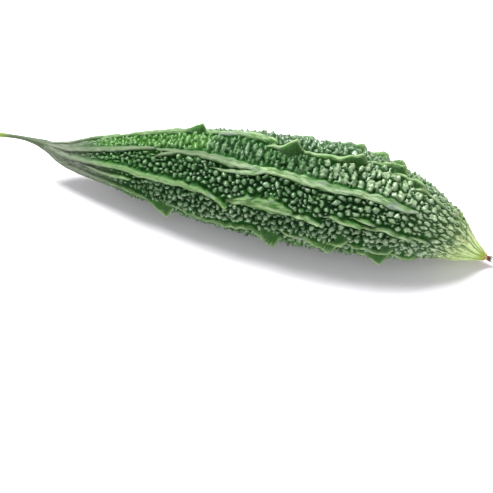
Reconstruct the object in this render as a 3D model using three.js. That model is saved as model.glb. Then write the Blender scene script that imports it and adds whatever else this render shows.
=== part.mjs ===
import * as THREE from 'three';

// A bitter gourd as picked, lying on a flat surface: one ribbed and warty fruit, the stalk it hung
// from, and the dried flower still on its tip. Units are millimetres and +Z is up. Stations are
// measured along X from the cut end of the stalk. While the pieces are built, the axis that they
// share lies in the plane Y = 0 and the surface is Z = 0. Angles round the axis are in degrees: 0
// faces -Y, 90 faces up and -90 faces down.

// Driving dimensions: where each piece starts and ends along the axis.
const STALK_START = 0;
const FRUIT_START = 30;
const FRUIT_END = 261;
const FLOWER_END = 266;
const JOINT_GAP = 0.3;

// Height of the shared axis above the surface, as [station, height]. The middle is arched, and the
// tip droops.
const AXIS_HEIGHTS = [
  [0, 21.0], [14, 22.0], [24, 21.0], [33, 18.3], [42, 16.7], [56, 18.0], [85, 20.6], [112, 22.2],
  [140, 23.4], [166, 24.4], [191, 24.7], [216, 21.9], [237, 16.4], [250, 9.4], [261, 5.0], [266, 4.2],
];

// Radius of the fruit over its ridges, without their teeth, as [station, radius].
const RIDGE_RADII = [
  [30, 3.6], [35, 5.8], [42, 8.0], [50, 10.3], [70, 15.0], [87, 19.0], [114, 24.0], [141, 26.8],
  [167, 27.8], [192, 26.8], [217, 22.4], [238, 14.5], [248, 9.6], [256, 4.9], [261, 2.2],
];

// How far a ridge stands above the skin beside it, and how far a wart does. A ridge that is at
// least FULL_RIDGE high has its teeth and waves at full size. Between ridges the skin bulges.
const RIDGE_HEIGHTS = [
  [30, 0.5], [42, 1.5], [70, 2.5], [120, 3.5], [200, 3.5], [235, 2.2], [254, 0.8], [261, 0.3],
];
const WART_HEIGHTS = [
  [30, 0], [44, 0.4], [62, 1.2], [90, 2.0], [200, 2.2], [232, 1.4], [250, 0.4], [261, 0],
];
const FULL_RIDGE = 3;
const SKIN_BULGE = 0.3;

// Ridges in the order of their angles round the axis. Each has its angle at several stations, and
// its teeth as [station of the point, height]. The two called foot carry the weight.
const RIDGES = [
  {
    name: 'nape',
    angles: [[30, -198], [80, -196], [130, -204], [170, -212], [210, -206], [261, -212]],
    teeth: [[86, 2.0], [141, 1.8], [190, 1.8]],
  },
  {
    name: 'back',
    angles: [[30, -146], [80, -154], [130, -160], [180, -157], [220, -154], [261, -156]],
    teeth: [[70, 2.4], [121, 3.8], [172, 3.0], [211, 4.0]],
  },
  {
    name: 'back foot',
    angles: [[30, -98], [90, -108], [120, -112], [200, -112], [261, -112]],
    teeth: [[92, 2.0], [214, 1.6]],
  },
  {
    name: 'front foot',
    angles: [[30, -50], [90, -61], [120, -65], [200, -65], [261, -72]],
    teeth: [[76, 2.2], [228, 1.8]],
  },
  {
    name: 'side',
    angles: [[30, -2], [60, -6], [83, -12], [100, -26], [123, -19], [145, -13], [222, -13], [261, -32]],
    teeth: [[100, 4.2], [158, 4.6], [188, 2.4], [214, 4.8]],
  },
  {
    name: 'cheek',
    angles: [[30, 40], [66, 32], [104, 31], [125, 24], [147, 22], [188, 21], [216, 19], [261, 6]],
    teeth: [[134, 1.4], [166, 1.6], [201, 1.0], [226, 1.2]],
  },
  {
    name: 'shoulder',
    angles: [[30, 70], [62, 68], [96, 71], [112, 70], [131, 62], [152, 58], [193, 56], [219, 58], [261, 44]],
    teeth: [[143, 0.6], [197, 0.6], [222, 0.8]],
  },
  {
    name: 'crown',
    angles: [[30, 108], [62, 122], [98, 121], [133, 110], [158, 98], [185, 93], [208, 99], [261, 80]],
    teeth: [[62, 0.8], [112, 2.2], [163, 4.2], [193, 3.6], [221, 2.8]],
  },
];

// A tooth climbs slowly from the stalk side, leans over its point and drops steeply behind it.
const TOOTH_CLIMB = 10;
const TOOTH_DROP = 5;
const TOOTH_LEAN = 0.3;

// A ridge has a flat crest band between two slopes. Where the fruit is thin, both shrink with it.
const CREST_HALF_WIDTH = 1.25;
const RIDGE_HALF_WIDTH = 3.1;
const CREST_SHARE_MAX = 0.12;
const RIDGE_SHARE_MAX = 0.27;

// A ridge waves gently sideways and in height, each by two waves of unlike length.
const SIDEWAYS_WAVE = { size: 0.9, lengths: [32, 19] };
const HEIGHT_WAVE = { size: 0.55, lengths: [23, 14] };

// The mesh of the fruit: rings along the axis, and columns between two neighbouring crests. Warts
// stand on every second point, in staggered rows.
const FRUIT_RINGS = 67;
const WART_COLUMNS = 8;
const WART_SPREAD = 0.35;

// Radius of the stalk as [station, radius]. It swells at the cut and flares into the fruit.
const STALK_RADII = [[0, 1.35], [3, 1.15], [9, 1.0], [17, 1.2], [23, 1.9], [27, 2.7], [30, 3.6]];
const STALK_RINGS = 22;
const STALK_SIDES = 16;
const STALK_RIBS = 5;
const STALK_RIB_DEPTH = 0.09;
const STALK_CUT_SLANT = 0.35;

// Radius of the dried flower as [station, radius]: a collar, a waist and a ragged mouth.
const FLOWER_RADII = [[261, 2.1], [262.2, 1.5], [263.4, 1.1], [264.6, 1.5], [266, 2.6]];
const FLOWER_RINGS = 8;
const FLOWER_SIDES = 15;
const FLOWER_LOBES = 5;
const FLOWER_LOBE_DEPTH = 0.28;
const FLOWER_RAGGED = 0.6;

const FULL_TURN = 2 * Math.PI;
const RANDOM_SEED = 20;

// A repeatable source of numbers from 0 to 1.
function seededRandom(seed) {
  let state = seed;
  return () => {
    state = (state + 0x6d2b79f5) | 0;
    let mixed = Math.imul(state ^ (state >>> 15), 1 | state);
    mixed = (mixed + Math.imul(mixed ^ (mixed >>> 7), 61 | mixed)) ^ mixed;
    return ((mixed ^ (mixed >>> 14)) >>> 0) / 4294967296;
  };
}

function clamp01(value) {
  return Math.min(Math.max(value, 0), 1);
}

function smoothStep(value) {
  const t = clamp01(value);
  return t * t * (3 - 2 * t);
}

// The slope at one point of a [station, value] list: that of the line through its neighbours.
function slopeAt(points, index) {
  const before = points[Math.max(index - 1, 0)];
  const after = points[Math.min(index + 1, points.length - 1)];
  return (after[1] - before[1]) / (after[0] - before[0]);
}

// A smooth curve through a [station, value] list.
function smoothValue(points, station) {
  const last = points.length - 1;
  if (station <= points[0][0]) return points[0][1];
  if (station >= points[last][0]) return points[last][1];
  const next = points.findIndex((point) => point[0] > station);
  const [x0, y0] = points[next - 1];
  const [x1, y1] = points[next];
  const span = x1 - x0;
  const t = (station - x0) / span;
  const rise = t * t * (3 - 2 * t);
  const leave = t * (1 - t) * (1 - t) * span * slopeAt(points, next - 1);
  const arrive = t * t * (t - 1) * span * slopeAt(points, next);
  return y0 + (y1 - y0) * rise + leave + arrive;
}

// The axis at a station: its point, its direction, and the direction across it that faces up.
function axisFrame(station) {
  const step = 0.5;
  const climb = smoothValue(AXIS_HEIGHTS, station + step) - smoothValue(AXIS_HEIGHTS, station - step);
  const along = new THREE.Vector3(2 * step, 0, climb).normalize();
  return {
    centre: new THREE.Vector3(station, 0, smoothValue(AXIS_HEIGHTS, station)),
    along,
    up: new THREE.Vector3(-along.z, 0, along.x),
  };
}

// The point at an angle and radius round the axis, pushed along the axis by shift.
function pointRoundAxis(frame, angle, radius, shift = 0) {
  return frame.centre.clone()
    .addScaledVector(new THREE.Vector3(0, -1, 0), radius * Math.cos(angle))
    .addScaledVector(frame.up, radius * Math.sin(angle))
    .addScaledVector(frame.along, shift);
}

function averagePoint(points) {
  const sum = points.reduce((total, point) => total.add(point), new THREE.Vector3());
  return sum.divideScalar(points.length);
}

// A closed solid through rings of points that follow one another along +X. Each square is split
// along the diagonal that cutFromCorner picks, and each end is closed by a fan round its middle.
function loftedSolid(rings, cutFromCorner = () => true) {
  const sides = rings[0].length;
  const points = rings.flat();
  const triangles = [];
  for (let row = 0; row < rings.length - 1; row += 1) {
    for (let side = 0; side < sides; side += 1) {
      const turn = (side + 1) % sides;
      const a = row * sides + side;
      const b = a + sides;
      const c = (row + 1) * sides + turn;
      const d = row * sides + turn;
      if (cutFromCorner(row, side)) {
        triangles.push(a, b, c, a, c, d);
      } else {
        triangles.push(a, b, d, b, c, d);
      }
    }
  }
  const startMiddle = points.length;
  points.push(averagePoint(rings[0]));
  const endMiddle = points.length;
  points.push(averagePoint(rings[rings.length - 1]));
  const lastRow = (rings.length - 1) * sides;
  for (let side = 0; side < sides; side += 1) {
    const turn = (side + 1) % sides;
    triangles.push(startMiddle, side, turn);
    triangles.push(endMiddle, lastRow + turn, lastRow + side);
  }
  const geometry = new THREE.BufferGeometry().setFromPoints(points);
  geometry.setIndex(triangles);
  geometry.computeVertexNormals();
  return geometry;
}

// How high the teeth lift a ridge at a station.
function toothLift(teeth, station) {
  const lifts = teeth.map(([point, height]) => {
    const away = station - point;
    const share = away < 0 ? 1 + away / TOOTH_CLIMB : 1 - away / TOOTH_DROP;
    return height * smoothStep(share);
  });
  return Math.max(0, ...lifts);
}

// A gentle wave along a ridge, as a function of the station, with its own random start.
function slowWave({ size, lengths }, random) {
  const phases = lengths.map(() => random() * FULL_TURN);
  return (station) => {
    const waves = lengths.map((length, index) => Math.sin(station * FULL_TURN / length + phases[index]));
    return size * waves.reduce((sum, wave) => sum + wave, 0) / waves.length;
  };
}

// One sector of a ring, from the crest of one ridge to just short of the next. Each column has an
// angle, a radius and a shift along the axis.
function sectorColumns(section, from, to, random) {
  const { row, radius, skin, wartHeight, bulge } = section;
  const width = to.angle - from.angle;
  const crest = Math.min(CREST_HALF_WIDTH / (radius * width), CREST_SHARE_MAX);
  const foot = Math.min(RIDGE_HALF_WIDTH / (radius * width), RIDGE_SHARE_MAX);
  const columns = [{ share: crest, radius: radius + from.lift, shift: from.lift * TOOTH_LEAN }];
  for (let index = 0; index < WART_COLUMNS; index += 1) {
    const share = foot + (1 - 2 * foot) * index / (WART_COLUMNS - 1);
    const besideRidge = index === 0 || index === WART_COLUMNS - 1;
    const isWart = !besideRidge && (row + index) % 2 === 0;
    const wart = isWart ? wartHeight * (1 - WART_SPREAD * random()) : 0;
    columns.push({ share, radius: skin + bulge * Math.sin(Math.PI * share) + wart, shift: 0 });
  }
  columns.push({ share: 1 - crest, radius: radius + to.lift, shift: to.lift * TOOTH_LEAN });
  return columns.map((column) => ({ ...column, angle: from.angle + width * column.share }));
}

// The fruit: ridges with teeth run its whole length, and staggered warts cover the skin between
// them. What would reach below the surface is pressed flat on it.
function fruitGeometry() {
  const random = seededRandom(RANDOM_SEED);
  const sideways = RIDGES.map(() => slowWave(SIDEWAYS_WAVE, random));
  const height = RIDGES.map(() => slowWave(HEIGHT_WAVE, random));
  const rings = [];
  for (let row = 0; row < FRUIT_RINGS; row += 1) {
    const station = FRUIT_START + (FRUIT_END - FRUIT_START) * row / (FRUIT_RINGS - 1);
    const radius = smoothValue(RIDGE_RADII, station);
    const ridgeHeight = smoothValue(RIDGE_HEIGHTS, station);
    const strength = clamp01(ridgeHeight / FULL_RIDGE);
    const section = {
      row,
      radius,
      skin: radius - ridgeHeight,
      wartHeight: smoothValue(WART_HEIGHTS, station),
      bulge: SKIN_BULGE * strength,
    };
    const crests = RIDGES.map((ridge, index) => ({
      angle: THREE.MathUtils.degToRad(smoothValue(ridge.angles, station))
        + strength * sideways[index](station) / radius,
      lift: strength * (toothLift(ridge.teeth, station) + height[index](station)),
    }));
    const columns = crests.flatMap((from, index) => {
      const next = crests[(index + 1) % crests.length];
      const to = index + 1 < crests.length ? next : { ...next, angle: next.angle + FULL_TURN };
      return sectorColumns(section, from, to, random);
    });
    const frame = axisFrame(station);
    rings.push(columns.map((column) => {
      const point = pointRoundAxis(frame, column.angle, column.radius, column.shift);
      return point.setZ(Math.max(point.z, 0));
    }));
  }
  return loftedSolid(rings, (row, side) => (row + side) % 2 === 0);
}

// The stalk: a thin ribbed stem, cut on a slant, that flares to meet the neck of the fruit.
function stalkGeometry() {
  const end = FRUIT_START - JOINT_GAP;
  const rings = [];
  for (let row = 0; row < STALK_RINGS; row += 1) {
    const station = STALK_START + (end - STALK_START) * row / (STALK_RINGS - 1);
    const frame = axisFrame(station);
    const ring = [];
    for (let side = 0; side < STALK_SIDES; side += 1) {
      const angle = FULL_TURN * side / STALK_SIDES;
      const rib = 1 + STALK_RIB_DEPTH * Math.cos(STALK_RIBS * angle);
      const radius = smoothValue(STALK_RADII, station) * rib;
      const slant = row === 0 ? -STALK_CUT_SLANT * Math.sin(angle) : 0;
      ring.push(pointRoundAxis(frame, angle, radius, slant));
    }
    rings.push(ring);
  }
  return loftedSolid(rings);
}

// The dried flower: a small brown trumpet with five lobes, ragged at its mouth.
function driedFlowerGeometry() {
  const random = seededRandom(RANDOM_SEED + 1);
  const start = FRUIT_END + JOINT_GAP;
  const rings = [];
  for (let row = 0; row < FLOWER_RINGS; row += 1) {
    const share = row / (FLOWER_RINGS - 1);
    const station = start + (FLOWER_END - start) * share;
    const frame = axisFrame(station);
    const ring = [];
    for (let side = 0; side < FLOWER_SIDES; side += 1) {
      const angle = FULL_TURN * side / FLOWER_SIDES;
      const lobe = 1 + FLOWER_LOBE_DEPTH * share * Math.cos(FLOWER_LOBES * angle);
      const ragged = FLOWER_RAGGED * (random() - 0.5) * share ** 3;
      ring.push(pointRoundAxis(frame, angle, smoothValue(FLOWER_RADII, station) * lobe, ragged));
    }
    rings.push(ring);
  }
  return loftedSolid(rings);
}

function namedMesh(name, geometry, color, roughness) {
  const material = new THREE.MeshStandardMaterial({ color, roughness, metalness: 0 });
  const mesh = new THREE.Mesh(geometry, material);
  mesh.name = name;
  return mesh;
}

// The whole gourd, with its origin on the surface under the middle of its box.
const group = new THREE.Group();
group.add(namedMesh('fruit', fruitGeometry(), 0x4c7d42, 0.38));
group.add(namedMesh('stalk', stalkGeometry(), 0x87997a, 0.6));
group.add(namedMesh('dried_flower', driedFlowerGeometry(), 0x8f6a45, 0.85));
const box = new THREE.Box3().setFromObject(group);
const middle = box.getCenter(new THREE.Vector3());
group.position.set(-middle.x, -middle.y, -box.min.z);

export default group;
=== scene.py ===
# %% [markdown]
# # A bitter gourd, modelled and finished in Blender
#
# This lesson dresses a bitter gourd whose plain solids are already made. The solids say how long
# the fruit is, where its ridges run and where it rests. Here each one gets a finer mesh of the same
# form, with real warts and a waxy skin. Lengths in the lists are millimetres, because a maker
# thinks in them, and the meshes are turned into metres at the end.

import math

import bpy
import numpy as np
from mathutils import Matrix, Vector


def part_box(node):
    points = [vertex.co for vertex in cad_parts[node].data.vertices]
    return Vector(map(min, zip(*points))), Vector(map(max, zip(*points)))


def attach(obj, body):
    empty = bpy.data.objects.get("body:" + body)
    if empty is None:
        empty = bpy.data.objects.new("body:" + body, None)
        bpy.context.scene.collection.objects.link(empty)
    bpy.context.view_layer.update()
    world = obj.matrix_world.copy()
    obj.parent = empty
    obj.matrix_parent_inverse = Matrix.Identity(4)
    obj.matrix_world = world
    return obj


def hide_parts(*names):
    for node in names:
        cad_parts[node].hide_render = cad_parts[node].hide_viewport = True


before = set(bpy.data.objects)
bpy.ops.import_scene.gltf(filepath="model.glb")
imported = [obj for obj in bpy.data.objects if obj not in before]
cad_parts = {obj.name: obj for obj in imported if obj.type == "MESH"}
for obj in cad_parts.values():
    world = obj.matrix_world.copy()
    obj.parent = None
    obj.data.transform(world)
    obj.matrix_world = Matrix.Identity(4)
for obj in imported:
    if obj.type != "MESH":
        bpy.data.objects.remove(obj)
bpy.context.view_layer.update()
MM = 0.001


def in_mm(box):
    """The corners of a box in metres, as rounded millimetres to print."""
    return [[round(c / MM, 1) for c in corner] for corner in box]


# %% [markdown]
# ## Where the gourd lies
#
# Every profile below is measured along the gourd from the cut end of the stalk, as with a ruler.
# The solids' own frame starts elsewhere, under the middle of the gourd. The rings of the solid stalk
# are evenly spaced, so the mean of its points lies on the axis, half way along it. That one point
# ties the ruler to the frame.

# %% Tie the ruler to the frame
STALK_LENGTH = 29.7
stalk_points = np.array([point.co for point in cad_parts["stalk"].data.vertices]) / MM
ruler_start = stalk_points[:, 0].mean() - STALK_LENGTH / 2
axis_side = stalk_points[:, 1].mean()
print(f"the ruler starts at x = {ruler_start:.2f} mm and the axis lies at y = {axis_side:.2f} mm")

# %% [markdown]
# ## The fruit's main form
#
# A bitter gourd is a spindle: thin at the neck, widest past the middle, and blunt towards a drooping
# tip. Two short lists give the height of its axis and the radius over its ridges. Two more say how
# far ridges and warts stand above the skin. A smooth curve through each list is all the form needs.
# The solids were drawn with the same kind of curve, so the main forms agree.

# %% Profiles along the fruit
AXIS_HEIGHTS = [
    (0, 21.0), (14, 22.0), (24, 21.0), (33, 18.3), (42, 16.7), (56, 18.0), (85, 20.6), (112, 22.2),
    (140, 23.4), (166, 24.4), (191, 24.7), (216, 21.9), (237, 16.4), (250, 9.4), (261, 5.0), (266, 4.2),
]
RIDGE_RADII = [
    (27, 2.78), (30, 3.6), (35, 5.8), (42, 8.0), (50, 10.3), (70, 15.0), (87, 19.0), (114, 24.0),
    (141, 26.8), (167, 27.8), (192, 26.8), (217, 22.4), (238, 14.5), (248, 9.6), (256, 4.9), (261.4, 2.0),
]
RIDGE_HEIGHTS = [
    (30, 0.3), (42, 1.4), (70, 2.5), (120, 3.5), (200, 3.5), (235, 2.2), (254, 0.8), (261, 0.3),
]
WART_HEIGHTS = [
    (38, 0.2), (50, 0.7), (62, 1.5), (90, 2.5), (120, 2.85), (195, 2.85), (220, 2.4), (236, 1.7),
    (246, 0.65), (253, 0.12),
]
FULL_RIDGE = 3.0
FRUIT_START, FRUIT_END = RIDGE_RADII[0][0], RIDGE_RADII[-1][0]


def smooth_value(points, at):
    """A smooth curve through (station, value) points, read at many stations at once."""
    x, y = np.array(points, float).T
    at = np.clip(at, x[0], x[-1])
    slopes = np.empty_like(y)
    slopes[1:-1] = (y[2:] - y[:-2]) / (x[2:] - x[:-2])
    slopes[0] = (y[1] - y[0]) / (x[1] - x[0])
    slopes[-1] = (y[-1] - y[-2]) / (x[-1] - x[-2])
    left = np.clip(np.searchsorted(x, at, side="right") - 1, 0, len(x) - 2)
    span = x[left + 1] - x[left]
    t = (at - x[left]) / span
    rise = t * t * (3 - 2 * t)
    leave = t * (1 - t) ** 2 * span * slopes[left]
    arrive = t * t * (t - 1) * span * slopes[left + 1]
    return y[left] + (y[left + 1] - y[left]) * rise + leave + arrive


widest = max(RIDGE_RADII, key=lambda pair: pair[1])
print(f"widest at {widest[0]} mm along, {2 * widest[1]:.0f} mm over the ridges")

# %% [markdown]
# ## Points round a bent axis
#
# Each piece is a stack of rings round the same gently arched axis. A ring stands square to the axis,
# so that a steep tip isn't squashed. Angles are counted from the side that faces -Y, upwards. This
# one function places a point from its station, angle and radius, and can push it along the axis or
# sideways round the ring, which lets a tooth lean over.

# %% Place points round the axis
CLIMB_STEP = 0.5


def round_axis(station, angle, radius, push=0.0, slide=0.0):
    """Points in millimetres in the solids' frame, from arrays that share one shape."""
    behind = smooth_value(AXIS_HEIGHTS, station - CLIMB_STEP)
    climb = smooth_value(AXIS_HEIGHTS, station + CLIMB_STEP) - behind
    length = np.hypot(2 * CLIMB_STEP, climb)
    along_x, along_z = 2 * CLIMB_STEP / length, climb / length
    outward_side = np.cos(angle) * radius - np.sin(angle) * slide
    outward_up = np.sin(angle) * radius + np.cos(angle) * slide
    x = ruler_start + station - along_z * outward_up + along_x * push
    y = axis_side - outward_side
    z = smooth_value(AXIS_HEIGHTS, station) + along_x * outward_up + along_z * push
    return np.stack([x, y, z], axis=-1)


print("top of the widest ring, in mm:", round_axis(widest[0], np.pi / 2, widest[1]).round(1).tolist())

# %% [markdown]
# ## Eight ridges
#
# Ridges run from the neck to the tip like the staves of a barrel. A guide says where each one runs,
# as stations along the gourd and degrees round it. The gourd lies on its two feet. The side, the
# cheek, the shoulder and the crown are the ones that show, so their guides have the most points.

# %% Guide the ridges
GUIDES = {
    "nape": [(30, -198), (80, -196), (130, -204), (170, -212), (210, -206), (261, -212)],
    "back": [(30, -146), (80, -154), (130, -160), (180, -157), (220, -154), (261, -156)],
    "back foot": [(30, -98), (90, -108), (120, -112), (200, -112), (261, -112)],
    "front foot": [(30, -50), (90, -61), (120, -65), (200, -65), (261, -72)],
    "side": [(30, -2), (60, -6), (83, -12), (100, -26), (123, -19), (145, -13), (222, -13), (261, -32)],
    "cheek": [(30, 40), (66, 32), (104, 31), (125, 24), (147, 22), (188, 21), (216, 19), (261, 6)],
    "shoulder": [
        (30, 70), (62, 68), (96, 71), (112, 70), (131, 62), (152, 58), (193, 56), (219, 58), (261, 44),
    ],
    "crown": [
        (30, 108), (62, 122), (98, 121), (133, 110), (158, 98), (185, 93), (208, 99), (221, 97), (261, 80),
    ],
}
print(f"{len(GUIDES)} ridges: {', '.join(GUIDES)}")

# %% [markdown]
# ## Strands of the ridges
#
# No ridge is one unbroken cord. It is a chain of strands. Each strand starts thin, swells, and ends
# in a tongue or in a tooth, and the next one starts a little aside, often before the last has ended.
# A strand is told here by its line in stations and degrees, its width as a share of the usual one,
# and the height of the tooth at its end in millimetres. Below one millimetre it ends in a tongue.
#
# Each ridge also has a paleness, and one bare side, where a strip of dark skin has no warts. Bare
# side 1 is the upper one, seen from the front, and -1 is the lower one.

# %% Lay out the strands
STRANDS = {
    "nape": [
        ([(27, -198), (60, -196), (86, -194)], 1.0, 2.0), ([(80, -200), (141, -206)], 0.9, 1.8),
        ([(136, -202), (166, -214)], 0.9, 1.1), ([(164, -210), (191, -219)], 0.75, 2.4),
        ([(190, -211), (202, -221)], 0.6, 2.2), ([(200, -210), (211, -220)], 0.6, 1.8),
        ([(208, -206), (228, -209)], 0.7, 1.2),
    ],
    "back": [
        ([(27, -146), (70, -151)], 1.0, 2.2), ([(66, -156), (121, -158)], 0.95, 3.6),
        ([(116, -163), (172, -155)], 0.95, 2.8), ([(167, -161), (211, -152)], 0.95, 3.8),
        ([(207, -158), (232, -155)], 0.8, 0.8),
    ],
    "back foot": [
        ([(27, -98), (92, -106)], 1.0, 1.8), ([(86, -111), (150, -109)], 1.0, 0.6),
        ([(144, -114), (214, -110)], 0.95, 1.4), ([(208, -114), (234, -112)], 0.8, 0.4),
    ],
    "front foot": [
        ([(27, -50), (76, -58)], 1.0, 2.0), ([(72, -62), (134, -62)], 0.95, 0.8),
        ([(128, -67), (186, -63)], 0.95, 0.6), ([(180, -67), (228, -62)], 0.9, 1.6),
    ],
    "side": [
        ([(27, 0), (50, -2), (69, -8), (83, -11), (91, -21), (100, -29)], 1.0, 3.6),
        ([(97, -14), (110, -20), (123, -20), (136, -16), (143, -12), (150, -15), (158, -25)], 0.8, 3.8),
        ([(160, -10), (177, -13), (188, -22)], 0.85, 2.0),
        ([(184, -16), (193, -5)], 0.7, 2.2),
        ([(193, -14), (201, -11), (209, -13), (216, -8)], 0.7, 1.4),
        ([(198, -22), (206, -24), (214, -25)], 0.8, 4.4),
        ([(213, -16), (222, -24), (229, -30)], 0.7, 1.4),
    ],
    "cheek": [
        ([(27, 40), (48, 36), (56, 34), (70, 35), (79, 33), (88, 30), (97, 29), (118, 28), (127, 22),
          (134, 15)], 1.4, 0.7),
        ([(44, 33), (53, 23), (60, 18), (66, 15), (74, 16), (81, 19)], 0.75, 0.5),
        ([(133, 16), (142, 24), (149, 25), (157, 24.5), (167, 22)], 1.75, 0.4),
        ([(137, 22), (141, 26), (148, 31)], 0.5, 0.2),
        ([(164, 20), (173, 19), (181, 15)], 0.8, 0.5),
        ([(183, 21), (187, 24), (193, 22), (201, 22)], 0.95, 0.4),
        ([(195, 28), (200, 29), (206, 27)], 0.6, 0.3),
        ([(197, 18), (207, 22), (213, 23), (219, 20), (226, 16)], 1.05, 0.5),
        ([(220, 23), (226, 22), (232, 20)], 0.6, 0.2),
    ],
    "shoulder": [
        ([(27, 72), (48, 67), (65, 70), (79, 72), (92, 75)], 1.25, 0.2),
        ([(90, 75), (102, 73), (110, 71), (121, 69), (130, 66), (137, 63.5), (148, 62)], 1.25, 0.1),
        ([(93, 61), (98, 66), (104, 69)], 0.7, 0.1),
        ([(124, 56), (132, 55), (142, 56), (152, 60)], 0.75, 0.1),
        ([(128, 65), (137, 62.5), (150, 62), (160, 61), (169, 58), (181, 56), (190, 55),
          (197, 57)], 1.25, 0.3),
        ([(182, 56), (192, 56), (204, 57), (213, 55), (222, 58)], 1.25, 0.5),
    ],
    "crown": [
        ([(27, 108), (45, 120), (54, 124), (68, 122)], 1.7, 0.1),
        ([(50, 116), (66, 120), (80, 118), (97, 118), (112, 120)], 1.95, 2.8),
        ([(108, 122), (120, 116), (137, 113), (146, 108), (153, 99)], 1.7, 0.9),
        ([(148, 99), (156, 92), (163, 95)], 1.15, 5.4),
        ([(163, 101), (169, 93), (184, 93), (190, 96), (193, 98)], 1.0, 4.0),
        ([(194, 104), (202, 108), (211, 112)], 0.7, 2.4),
        ([(208, 104), (214, 102), (221, 97)], 0.7, 2.8),
        ([(219, 93), (226, 94), (234, 90)], 0.7, 0.5),
    ],
}
PALENESS = {
    "nape": 0.5, "back": 0.5, "back foot": 0.5, "front foot": 0.5,
    "side": 0.45, "cheek": 0.55, "shoulder": 1.0, "crown": 0.9,
}
BARE_SIDES = {
    "nape": -1, "back": -1, "back foot": -1, "front foot": 1,
    "side": 1, "cheek": 1, "shoulder": 1, "crown": -1,
}
for ridge_name, ridge_strands in STRANDS.items():
    highest = max(tooth for line, width, tooth in ridge_strands)
    print(f"{ridge_name}: {len(ridge_strands)} strands, highest tooth {highest} mm")

# %% [markdown]
# ## Uneven strands
#
# A strand that has grown is never straight. Its line, its height and its width each wander on a slow
# wave, which is a sum of three sines with random starts. The palest ridges are the calmest, and all
# are calm near the neck. One seeded generator draws every random number of this lesson in turn, so
# each run grows the same gourd. Two helpers turn any measure into a soft change from 0 to 1.

# %% Make the strands uneven
LOWEST_TOOTH = 1
TOOTH_CLIMBS, LONGEST_CLIMB = (8, 11), 0.6
TOOTH_DROP, TONGUE_DROP = 5, 2.2
SIDEWAYS_WAVE = (0.6, (25, 14, 8.5))
HEIGHT_WAVE = (0.7, (19, 11, 6.5))
WIDTH_WAVE = (0.34, (15, 9, 5.5))
WAVE_STRENGTH = [(27, 0.3), (60, 0.45), (110, 1.0), (261, 1.0)]
WAVE_LENGTH_SPREAD = (0.8, 1.25)
UNREST, UNREST_LOST_WHEN_PALE = 1.3, 0.7
BROAD_FROM, BROAD_TO = 1.2, 1.7

chance = np.random.default_rng(20)


def smooth_step(value):
    """0 below 0, 1 above 1, and smooth between."""
    t = np.clip(value, 0, 1)
    return t * t * (3 - 2 * t)


def ramp(value, zero_at, one_at):
    """0 at one value, 1 at another and smooth between, whichever of the two is the larger."""
    return smooth_step((value - zero_at) / (one_at - zero_at))


def slow_wave(size, lengths):
    """A gentle wave along a strand, with its own random start."""
    lengths = np.array(lengths) * chance.uniform(*WAVE_LENGTH_SPREAD, len(lengths))
    phases = chance.uniform(0, 2 * np.pi, len(lengths))

    def wave(station):
        parts = [np.sin(2 * np.pi * station / span + phase) for span, phase in zip(lengths, phases)]
        return size * smooth_value(WAVE_STRENGTH, station) * sum(parts) / len(parts)

    return wave


def grow_strand(line, width, tooth, pale, bare_side):
    """All that is known of one strand, with its random climb and waves."""
    start, end, toothed = line[0][0], line[-1][0], tooth > LOWEST_TOOTH
    climb = min(chance.uniform(*TOOTH_CLIMBS), LONGEST_CLIMB * (end - start))
    unrest = UNREST - UNREST_LOST_WHEN_PALE * pale
    wave_kinds = (SIDEWAYS_WAVE, HEIGHT_WAVE, WIDTH_WAVE)
    sideways, lift, widen = [slow_wave(size * unrest, lengths) for size, lengths in wave_kinds]
    return {
        "line": line, "start": start, "end": end, "width": width, "tooth": tooth, "pale": pale,
        "bare_side": bare_side, "broad": ramp(width, BROAD_FROM, BROAD_TO), "toothed": toothed,
        "climb": climb, "drop": TOOTH_DROP if toothed else TONGUE_DROP,
        "sideways": sideways, "lift": lift, "widen": widen,
    }


strands = [
    grow_strand(line, width, tooth, PALENESS[ridge_name], BARE_SIDES[ridge_name])
    for ridge_name, ridge_strands in STRANDS.items()
    for line, width, tooth in ridge_strands
]
print(f"{len(strands)} strands, {sum(strand['toothed'] for strand in strands)} of them with a tooth")

# %% [markdown]
# ## The form of one strand
#
# Along its length a strand swells, and a tongue narrows towards its end. The slope down to the skin
# is longer on the bare side. The tooth at the end climbs gently and drops steeply, and its foot is
# the wider the higher it stands. This helper works out those sizes for points near one strand.

# %% Shape one strand
STRAND_HALF_WIDTH = [(27, 0.9), (50, 1.5), (90, 2.1), (130, 2.5), (200, 2.6), (235, 1.9)]
STRAND_WIDTHS = [(0, 0.35), (0.3, 0.75), (0.75, 1.12), (0.93, 1.0), (1, 0.7)]
OPEN_START = 0.4
NARROWING_PAST_END = 0.75
TONGUE_TAPER, TAPER_FROM = 0.35, 0.75
BARE_SLOPE, STEEP_SLOPE = 1.2, 0.85
CLIMB_POWER, DROP_POWER = 1.3, 1.1
TENT_FOOT, TENT_SPREAD = 0.7, 1.0


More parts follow.
